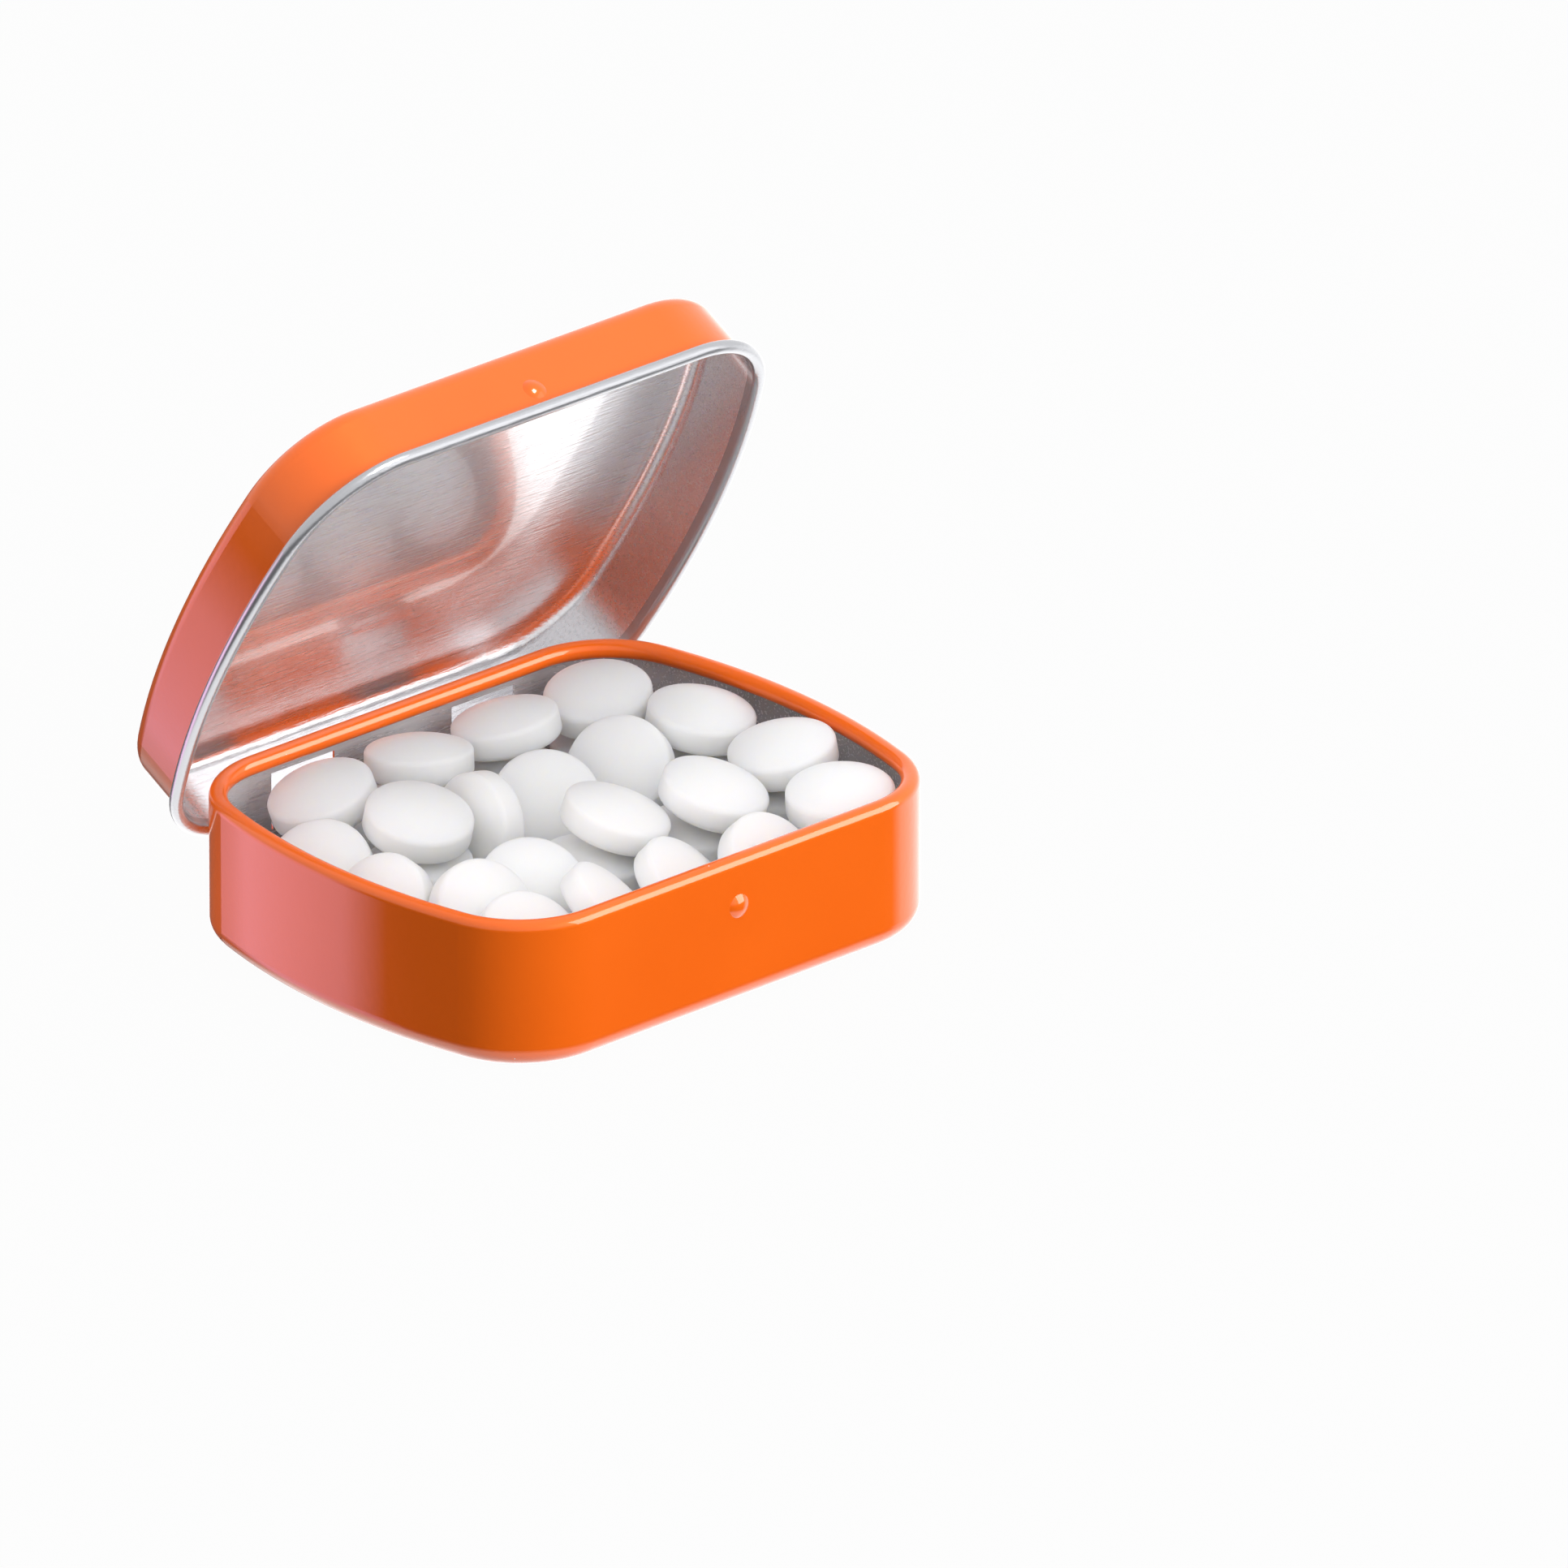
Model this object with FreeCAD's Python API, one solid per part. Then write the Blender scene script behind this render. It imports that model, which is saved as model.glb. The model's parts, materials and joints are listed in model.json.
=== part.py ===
import FreeCAD, Part
import math
import os

# Pressed tray
BASE_LENGTH = 56.6
BASE_WIDTH = 45.6
BASE_HEIGHT = 14.0
CORNER_RADIUS = 9.6
END_RADIUS = 64.0
SHEET = 0.25
FOOT_RADIUS = 2.0
HEM_RADIUS = 0.85
HEM_TURN = 295.0

# Pressed lid, measured closed on the tray
LID_GAP = 0.46
LID_HEIGHT = 14.5
SHOULDER_RADIUS = 1.7
CURL_RADIUS = 0.62
CURL_HEIGHT = 7.0
CURL_TURN = 290.0
REST_OPENING = 62.0

# Hinge: tabs lanced from the tray's back wall and rolled round the lid's curl,
# each a share of the way from the middle to the corner
TAB_WIDTH = 7.0
TAB_PLACE_SHARE = 0.62
TAB_BEND_RADIUS = 0.5
RUN_GAP = 0.06
LOOP_TURN = 295.0
SHEAR_GAP = 0.2
SLOT_SIDE_GAP = 0.3
SLOT_TOP_GAP = 0.15
SLOT_OVERCUT = 0.05

# Catch dimples pressed outward in both front walls
DIMPLE_RADIUS = 1.1
DIMPLE_RISE = 0.38
DIMPLE_HEIGHT = 9.45

# Mints: as wide as lets them lie five along the tray and four across it, with room to spare
MINTS_ALONG = 5
MINTS_ACROSS = 4
ROOM_ALONG = 8.1
ROOM_ACROSS = 6.8
MINT_BAND = 2.2
DOME_RISE = 1.05
MINT_EDGE_ROUND = 0.55

# How the heap is laid: levelling grid, air between mints, reach of the search,
# and what a step aside and a degree less of lean must gain in depth
CELL = 0.25
HEAP_GAP = 0.18
SEARCH_STEPS = 5
PULL = 0.6
TWIST = 0.167
LEAN_SHARES = (1.0, 0.8, 0.6, 0.4, 0.2, 0.0)

# Bottom layer, lying flat: rows across the tray, in half widths and half lengths of it
FLOOR_ROW_SHARES = (
    (-0.659, (-0.511, -0.168, 0.168, 0.511)),
    (-0.221, (-0.716, -0.356, 0, 0.356, 0.716)),
    (0.221, (-0.716, -0.356, 0, 0.356, 0.716)),
    (0.659, (-0.511, -0.168, 0.168, 0.511)),
)

# The rest of the heap from below upward: place in half lengths and half widths, lean and heading in degrees
HEAP_SHARES = (
    (-0.438, 0.702, 3, 180),
    (-0.085, 0.702, 3, 90),
    (0.265, 0.702, 3, 0),
    (0.608, 0.632, 4, 180),
    (-0.424, 0.254, 3, 180),
    (0.749, 0.228, 4, 0),
    (0.749, -0.215, 4, 0),
    (0.664, -0.64, 4, -60),
    (-0.014, -0.193, 4, -40),
    (0.36, -0.228, 4, -40),
    (-0.18, 0.246, 80, 178),
    (0.417, 0.246, 52, -155),
    (0.092, 0.237, 44, -125),
    (-0.763, 0.368, 42, 205),
    (-0.523, 0.654, 19, 162),
    (-0.784, 0.009, 50, 185),
    (-0.314, -0.228, 40, -118),
    (0.742, 0.237, 9, -57),
    (0.746, -0.219, 10, 160),
    (0.668, -0.658, 7, -150),
    (0.053, -0.219, 18, -42),
    (0.396, -0.307, 17, -55),
    (-0.601, -0.325, 52, -95),
    (-0.615, -0.623, 42, -95),
    (-0.297, -0.645, 42, -42),
    (0.021, -0.64, 40, -55),
    (0.318, -0.719, 46, -80),
    (-0.106, 0.693, 8, 60),
    (0.251, 0.684, 12, 124),
    (0.601, 0.627, 12, 200),
    (-0.431, 0.263, 14, -90),
)

V = FreeCAD.Vector
UP = V(0, 0, 1)
HALF_LENGTH = BASE_LENGTH / 2
HALF_WIDTH = BASE_WIDTH / 2
END_CENTRE = HALF_LENGTH - END_RADIUS
CORNER_Y = HALF_WIDTH - CORNER_RADIUS
CORNER_X = END_CENTRE + math.sqrt((END_RADIUS - CORNER_RADIUS) ** 2 - CORNER_Y ** 2)
BOW = math.degrees(math.atan2(CORNER_Y, CORNER_X - END_CENTRE))

# Rounded sides of the outline: centre, radius, first angle, turn
ROUNDS = (
    (V(END_CENTRE, 0, 0), END_RADIUS, -BOW, 2 * BOW),
    (V(CORNER_X, CORNER_Y, 0), CORNER_RADIUS, BOW, 90 - BOW),
    (V(-CORNER_X, CORNER_Y, 0), CORNER_RADIUS, 90, 90 - BOW),
    (V(-END_CENTRE, 0, 0), END_RADIUS, 180 - BOW, 2 * BOW),
    (V(-CORNER_X, -CORNER_Y, 0), CORNER_RADIUS, 180 + BOW, 90 - BOW),
    (V(CORNER_X, -CORNER_Y, 0), CORNER_RADIUS, 270, 90 - BOW),
)

# Straight long sides: start, run, direction of the outward normal
STRAIGHTS = (
    (V(CORNER_X, HALF_WIDTH, 0), V(-2 * CORNER_X, 0, 0), 90),
    (V(-CORNER_X, -HALF_WIDTH, 0), V(2 * CORNER_X, 0, 0), 270),
)

# Axis of the hinge, seen from the side: distance out from the tray's wall, height
PIN = V(LID_GAP + CURL_RADIUS, 0, CURL_HEIGHT)
LOOP_RADIUS = CURL_RADIUS + RUN_GAP + SHEET / 2
BEND_OUT = TAB_BEND_RADIUS - SHEET / 2
BEND_DROP = math.sqrt((TAB_BEND_RADIUS + LOOP_RADIUS) ** 2 - (PIN.x - BEND_OUT) ** 2)
BEND = V(BEND_OUT, 0, CURL_HEIGHT - BEND_DROP)
LEAD = math.degrees(math.atan2(BEND_DROP, PIN.x - BEND_OUT))
TAB_PLACES = (-TAB_PLACE_SHARE * CORNER_X, TAB_PLACE_SHARE * CORNER_X)

MINT_PITCHES = ((BASE_LENGTH - ROOM_ALONG) / MINTS_ALONG, (BASE_WIDTH - ROOM_ACROSS) / MINTS_ACROSS)
MINT_RADIUS = min(MINT_PITCHES) / 2
DOME_RADIUS = (MINT_RADIUS ** 2 + DOME_RISE ** 2) / (2 * DOME_RISE)
DOME_SINK = DOME_RADIUS - DOME_RISE - MINT_BAND / 2
ROWS = int(BASE_WIDTH / CELL) + 1
COLUMNS = int(BASE_LENGTH / CELL) + 1


def polar(centre, radius, angle):
    """Point of a circle standing in the section plane."""
    turn = math.radians(angle)
    return centre + V(radius * math.cos(turn), 0, radius * math.sin(turn))


def arc(centre, radius, start, end):
    """Arc in the section plane, with its two ends."""
    ends = (polar(centre, radius, start), polar(centre, radius, end))
    middle = polar(centre, radius, (start + end) / 2)
    return Part.Arc(ends[0], middle, ends[1]).toShape(), ends


def joined(arcs):
    """Face bounded by the arcs in turn, with straight lines where their ends lie apart."""
    edges = []
    for index, (edge, ends) in enumerate(arcs):
        start = arcs[index - 1][1][1]
        if start.distanceToPoint(ends[0]) > SHEET / 100:
            edges.append(Part.makeLine(start, ends[0]))
        edges.append(edge)
    return Part.Face(Part.Wire(edges))


def swept(section):
    """Solid made by carrying a wall section once round the outline."""
    pieces = []
    for centre, radius, start, turn in ROUNDS:
        piece = section.copy()
        piece.translate(V(radius, 0, 0))
        piece.rotate(V(), UP, start)
        piece.translate(centre)
        pieces.append(piece.revolve(centre, UP, turn))
    for start, run, normal in STRAIGHTS:
        piece = section.copy()
        piece.rotate(V(), UP, normal)
        piece.translate(start)
        pieces.append(piece.extrude(run))
    return pieces[0].multiFuse(pieces[1:])


def plate(inset, height):
    """Flat sheet inside the outline, its underside at the given height."""
    edges = []
    for centre, radius, start, turn in ROUNDS:
        circle = Part.Circle(centre + UP * height, UP, radius - inset)
        edges.append(circle.toShape(math.radians(start), math.radians(start + turn)))
    for start, run, _ in STRAIGHTS:
        place = start + V(0, math.copysign(inset, -start.y), height)
        edges.append(Part.makeLine(place, place + run))
    outline = Part.Wire(Part.__sortEdges__(edges))
    return Part.Face(outline).extrude(UP * SHEET)


def with_dimple(body, wall):
    """Presses the catch dimple outward in the front wall that stands at the given distance."""
    radius = (DIMPLE_RADIUS ** 2 + DIMPLE_RISE ** 2) / (2 * DIMPLE_RISE)
    centre = V(0, radius - DIMPLE_RISE - wall, DIMPLE_HEIGHT)
    corner = V(-DIMPLE_RADIUS, -wall - DIMPLE_RISE, DIMPLE_HEIGHT - DIMPLE_RADIUS)
    depth = DIMPLE_RISE + SHEET / 2
    block = Part.makeBox(2 * DIMPLE_RADIUS, depth, 2 * DIMPLE_RADIUS, corner)
    bump = Part.makeSphere(radius, centre).common(block)
    hollow = Part.makeSphere(radius - SHEET, centre)
    return body.fuse(bump).cut(hollow)


def tab_section():
    """Side view of a hinge tab: bent out of the wall, then rolled round the curl."""
    half = SHEET / 2
    first = LEAD + 180
    last = first + LOOP_TURN
    return joined([
        arc(BEND, TAB_BEND_RADIUS + half, 180, LEAD),
        arc(PIN, LOOP_RADIUS - half, first, last),
        arc(PIN, LOOP_RADIUS + half, last, first),
        arc(BEND, TAB_BEND_RADIUS - half, LEAD, 180),
    ])


def hinge_tab(place):
    """Hinge tab standing in the tray's back wall, centred at the given place along it."""
    section = tab_section()
    section.rotate(V(), UP, 90)
    section.translate(V(place - TAB_WIDTH / 2, HALF_WIDTH, 0))
    return section.extrude(V(TAB_WIDTH, 0, 0))


def hinge_window(place):
    """Hole that the tab was lanced from, as long as the tab laid flat."""
    bend = TAB_BEND_RADIUS * math.radians(180 - LEAD)
    height = bend + LOOP_RADIUS * math.radians(LOOP_TURN) + SHEAR_GAP
    width = TAB_WIDTH + 2 * SHEAR_GAP
    corner = V(place - width / 2, HALF_WIDTH - 2 * SHEET, BEND.z)
    return Part.makeBox(width, 3 * SHEET, height, corner)


def base_tray():
    """Tray with a rounded foot, an inward rolled rim and the hinge tabs."""
    foot = V(-FOOT_RADIUS, 0, FOOT_RADIUS)
    hem = V(-HEM_RADIUS, 0, BASE_HEIGHT - HEM_RADIUS)
    wall = joined([
        arc(foot, FOOT_RADIUS, 270, 360),
        arc(hem, HEM_RADIUS, 0, HEM_TURN),
        arc(hem, HEM_RADIUS - SHEET, HEM_TURN, 0),
        arc(foot, FOOT_RADIUS - SHEET, 360, 270),
    ])
    tray = swept(wall).fuse(plate(FOOT_RADIUS, 0))
    tray = with_dimple(tray, HALF_WIDTH)
    for place in TAB_PLACES:
        tray = tray.cut(hinge_window(place)).fuse(hinge_tab(place))
    return tray.removeSplitter()


def lid_slot(place):
    """Slot above the curl through which the tray's loop passes at every opening."""
    width = TAB_WIDTH + 2 * SLOT_SIDE_GAP
    height = LOOP_RADIUS + SHEET / 2 + SLOT_TOP_GAP
    corner = V(place - width / 2, HALF_WIDTH + LID_GAP - SLOT_OVERCUT, CURL_HEIGHT)
    return Part.makeBox(width, SHEET + 2 * SLOT_OVERCUT, height, corner)


def lid():
    """Lid with a soft shoulder and an outward rolled curl, swung open about the curl."""
    shoulder = V(LID_GAP + SHEET - SHOULDER_RADIUS, 0, LID_HEIGHT - SHOULDER_RADIUS)
    wall = joined([
        arc(shoulder, SHOULDER_RADIUS, 90, 0),
        arc(PIN, CURL_RADIUS - SHEET, 180, 180 + CURL_TURN),
        arc(PIN, CURL_RADIUS, 180 + CURL_TURN, 180),
        arc(shoulder, SHOULDER_RADIUS - SHEET, 0, 90),
    ])
    cover = swept(wall).fuse(plate(-shoulder.x, LID_HEIGHT - SHEET))
    cover = with_dimple(cover, HALF_WIDTH + LID_GAP + SHEET)
    for place in TAB_PLACES:
        cover = cover.cut(lid_slot(place))
    cover = cover.removeSplitter()
    cover.rotate(V(0, HALF_WIDTH + PIN.x, PIN.z), V(1, 0, 0), -REST_OPENING)
    return cover


def mint():
    """Round tablet with a straight band and two domed faces, lying at the origin."""
    rim = math.degrees(math.atan2(MINT_BAND / 2 + DOME_SINK, MINT_RADIUS))
    profile = joined([
        arc(V(0, 0, -DOME_SINK), DOME_RADIUS, 90, rim),
        arc(V(0, 0, DOME_SINK), DOME_RADIUS, -rim, -90),
    ])
    body = profile.revolve(V(), UP, 360)
    rims = []
    for edge in body.Edges:
        if edge.BoundBox.XLength > MINT_RADIUS and edge.BoundBox.ZLength < MINT_EDGE_ROUND:
            rims.append(edge)
    return body.makeFillet(MINT_EDGE_ROUND, rims)


def mint_axis(lean, heading):
    """Direction of a mint's axis for a lean from upright and a compass heading."""
    tilt = math.radians(lean)
    turn = math.radians(heading)
    return V(math.sin(tilt) * math.cos(turn), math.sin(tilt) * math.sin(turn), math.cos(tilt))


def span(x, y, axis, growth):
    """Lowest and highest point of a tilted mint over a place in plan, or None beside it."""
    low = -BASE_LENGTH
    high = BASE_LENGTH
    for side in (1, -1):
        centre = axis * (-side * DOME_SINK)
        square = (DOME_RADIUS + growth) ** 2 - (x - centre.x) ** 2 - (y - centre.y) ** 2
        if square <= 0:
            return None
        low = max(low, centre.z - math.sqrt(square))
        high = min(high, centre.z + math.sqrt(square))
    along = x * axis.x + y * axis.y
    slope = 1 - axis.z ** 2
    excess = x ** 2 + y ** 2 - along ** 2 - (MINT_RADIUS + growth) ** 2
    square = (along * axis.z) ** 2 - slope * excess
    if square < 0 or (slope == 0 and excess > 0):
        return None
    if slope > 0:
        low = max(low, (along * axis.z - math.sqrt(square)) / slope)
        high = min(high, (along * axis.z + math.sqrt(square)) / slope)
    return (low, high) if low < high else None


def footprint(axis):
    """Grid cells under a tilted mint: index step, underside with air, top face."""
    reach = int((MINT_RADIUS + MINT_BAND) / CELL)
    cells = []
    for column in range(-reach, reach + 1):
        for row in range(-reach, reach + 1):
            wide = span(column * CELL, row * CELL, axis, HEAP_GAP)
            if wide:
                real = span(column * CELL, row * CELL, axis, 0)
                cells.append((column * ROWS + row, wide[0], real[1] if real else None))
    return cells


def inside_rim(x, y):
    """Tells whether a place in plan lies within the opening of the rolled rim."""
    inset = 2 * HEM_RADIUS
    side_x = abs(x)
    side_y = abs(y)
    corner = math.degrees(math.atan2(side_y - CORNER_Y, side_x - CORNER_X))
    if side_x > CORNER_X and corner > BOW:
        return math.hypot(side_x - CORNER_X, side_y - CORNER_Y) < CORNER_RADIUS - inset
    bowed = math.hypot(side_x - END_CENTRE, side_y) < END_RADIUS - inset
    return bowed and side_y < HALF_WIDTH - inset


def empty_levels():
    """Height of the empty tray over every cell: sheet inside, rim elsewhere."""
    levels = []
    for column in range(COLUMNS):
        for row in range(ROWS):
            free = inside_rim(column * CELL - HALF_LENGTH, row * CELL - HALF_WIDTH)
            levels.append(SHEET if free else BASE_HEIGHT)
    return levels


def lowest_rest(levels, cells, column, row):
    """Finds near a place in the grid where a mint lies lowest: cost, height, column, row."""
    margin = int(MINT_RADIUS / CELL) + SEARCH_STEPS
    best = None
    for right in range(-SEARCH_STEPS, SEARCH_STEPS + 1):
        for back in range(-SEARCH_STEPS, SEARCH_STEPS + 1):
            across = min(max(column + right, margin), COLUMNS - margin)
            deep = min(max(row + back, margin), ROWS - margin)
            start = across * ROWS + deep
            rest = max(levels[start + step] - low for step, low, top in cells)
            cost = rest + PULL * CELL * math.hypot(right, back)
            if best is None or cost < best[0]:
                best = (cost, rest, across, deep)
    return best


def lay(levels, x_share, y_share, lean, heading):
    """Lets one mint down near its place, upright enough to sink in, and raises the levels."""
    column = round((x_share * HALF_LENGTH + HALF_LENGTH) / CELL)
    row = round((y_share * HALF_WIDTH + HALF_WIDTH) / CELL)
    best = None
    for share in LEAN_SHARES if lean else (0,):
        axis = mint_axis(lean * share, heading)
        cells = footprint(axis)
        cost, rest, across, deep = lowest_rest(levels, cells, column, row)
        cost += TWIST * lean * (1 - share)
        if best is None or cost < best[0]:
            best = (cost, rest, across, deep, axis, cells)
    cost, rest, across, deep, axis, cells = best
    start = across * ROWS + deep
    for step, low, top in cells:
        if top is not None:
            levels[start + step] = max(levels[start + step], rest + top)
    return V(across * CELL - HALF_LENGTH, deep * CELL - HALF_WIDTH, rest), axis


def heap():
    """Places and axes of all mints, from the bottom layer up."""
    levels = empty_levels()
    laid = []
    for y_share, x_shares in FLOOR_ROW_SHARES:
        for x_share in x_shares:
            laid.append(lay(levels, x_share, y_share, 0, 0))
    for shares in HEAP_SHARES:
        laid.append(lay(levels, *shares))
    return laid


def export(shape, node):
    """Writes one solid under its node name."""
    shape.exportStep("parts/" + node + ".step")


def main():
    """Builds the tin and its contents."""
    os.makedirs("parts", exist_ok=True)
    export(base_tray(), "base_tray")
    export(lid(), "lid")
    tablet = mint()
    for number, (place, axis) in enumerate(heap(), start=1):
        piece = tablet.copy()
        piece.Placement = FreeCAD.Placement(place, FreeCAD.Rotation(UP, axis))
        export(piece, f"mint_{number:02d}")


main()
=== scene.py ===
import json
import logging
import math
from dataclasses import dataclass
from enum import Enum
from typing import Any, Optional

import bpy
from mathutils import Matrix, Vector

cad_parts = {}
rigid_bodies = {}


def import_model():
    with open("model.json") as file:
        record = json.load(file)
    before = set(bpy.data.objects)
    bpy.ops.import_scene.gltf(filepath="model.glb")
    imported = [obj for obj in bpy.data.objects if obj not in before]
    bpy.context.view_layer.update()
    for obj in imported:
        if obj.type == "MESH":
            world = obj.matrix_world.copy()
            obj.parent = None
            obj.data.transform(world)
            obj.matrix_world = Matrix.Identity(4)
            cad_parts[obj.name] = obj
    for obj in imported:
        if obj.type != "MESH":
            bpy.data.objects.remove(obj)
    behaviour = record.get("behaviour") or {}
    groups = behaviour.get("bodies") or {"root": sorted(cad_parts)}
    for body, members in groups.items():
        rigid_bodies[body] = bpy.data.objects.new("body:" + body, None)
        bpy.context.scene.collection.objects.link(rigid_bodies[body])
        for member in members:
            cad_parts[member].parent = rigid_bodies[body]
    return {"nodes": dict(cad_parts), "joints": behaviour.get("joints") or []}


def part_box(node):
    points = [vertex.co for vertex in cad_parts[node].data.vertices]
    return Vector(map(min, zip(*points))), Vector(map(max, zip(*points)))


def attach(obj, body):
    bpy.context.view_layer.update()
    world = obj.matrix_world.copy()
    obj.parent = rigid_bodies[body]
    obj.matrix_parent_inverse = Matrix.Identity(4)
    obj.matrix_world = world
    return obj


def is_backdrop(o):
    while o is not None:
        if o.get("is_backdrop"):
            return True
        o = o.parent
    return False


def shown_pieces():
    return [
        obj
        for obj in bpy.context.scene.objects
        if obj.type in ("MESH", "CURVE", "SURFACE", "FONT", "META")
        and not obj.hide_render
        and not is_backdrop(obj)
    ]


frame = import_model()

LOG = logging.getLogger("mint_tin")
MM = 0.001
WHITE = (1.0, 1.0, 1.0, 1.0)
# Octaves of a noise pattern: how much fine detail rides on the coarse one.
PLAIN, MEDIUM, FINE = 1.0, 2.0, 3.0
# Sockets of a colour mix by number, since the node has each of their names more than once.
LOW, HIGH, MIXED = 6, 7, 2
# Higher than any part of the tin reaches, in metres.
OUT_OF_REACH = 1.0
# The mints rub a film of sugar dust off on the bare sheet that they lie on.
DUSTED_SHINE = 0.5

Colour = tuple[float, float, float, float]
Socket = bpy.types.NodeSocket
Tree = bpy.types.NodeTree


def linear(hex_colour: str) -> Colour:
    """Turns an sRGB hex colour into the linear values that shaders take.

    Args:
        hex_colour: Six hex digits with a leading hash sign.

    Returns:
        Red, green, blue and an alpha of one.
    """
    channels = [int(hex_colour[i:i + 2], 16) / 255 for i in (1, 3, 5)]
    bent = [c / 12.92 if c <= 0.04045 else ((c + 0.055) / 1.055) ** 2.4 for c in channels]
    return bent[0], bent[1], bent[2], 1.0


def add_node(
    tree: Tree,
    kind: str,
    settings: Optional[dict[str, Any]] = None,
    inputs: Optional[dict[Any, Any]] = None,
) -> bpy.types.Node:
    """Adds one node, sets its properties, and fills or links its inputs.

    Args:
        tree: The node tree that gets the node.
        kind: The node's type name.
        settings: Properties of the node by name.
        inputs: Values or output sockets by input name or number.

    Returns:
        The new node.
    """
    node = tree.nodes.new(kind)
    for name, value in (settings or {}).items():
        setattr(node, name, value)
    for name, value in (inputs or {}).items():
        if isinstance(value, Socket):
            tree.links.new(value, node.inputs[name])
        else:
            node.inputs[name].default_value = value
    return node


def new_material(name: str) -> tuple[bpy.types.Material, Tree, bpy.types.Node]:
    """Makes an empty material with its surface shader.

    Args:
        name: The material's name.

    Returns:
        The material, its node tree and its surface shader.
    """
    material = bpy.data.materials.new(name)
    material.use_nodes = True
    tree = material.node_tree
    tree.nodes.clear()
    shader = add_node(tree, "ShaderNodeBsdfPrincipled")
    add_node(tree, "ShaderNodeOutputMaterial", inputs={"Surface": shader.outputs[0]})
    return material, tree, shader


def dress(piece: bpy.types.Object, material: bpy.types.Material) -> None:
    """Gives a piece one material in place of those it has."""
    piece.data.materials.clear()
    piece.data.materials.append(material)


@dataclass(frozen=True)
class Stance:
    """How a pressing stands upright, and which side of its sheet shows where.

    Attributes:
        turn: Rotation from the rest pose to the upright frame.
        pivot: Point that the rotation leaves in place.
        heart: Point in the hollow, upright; faces turned away from it are outside.
        bare_below: Height, upright, under which the sheet shows its bare side.
        coated_above: Height, upright, over which it shows its enamelled side.
    """

    turn: Matrix
    pivot: Vector
    heart: Vector
    bare_below: float
    coated_above: float


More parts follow.
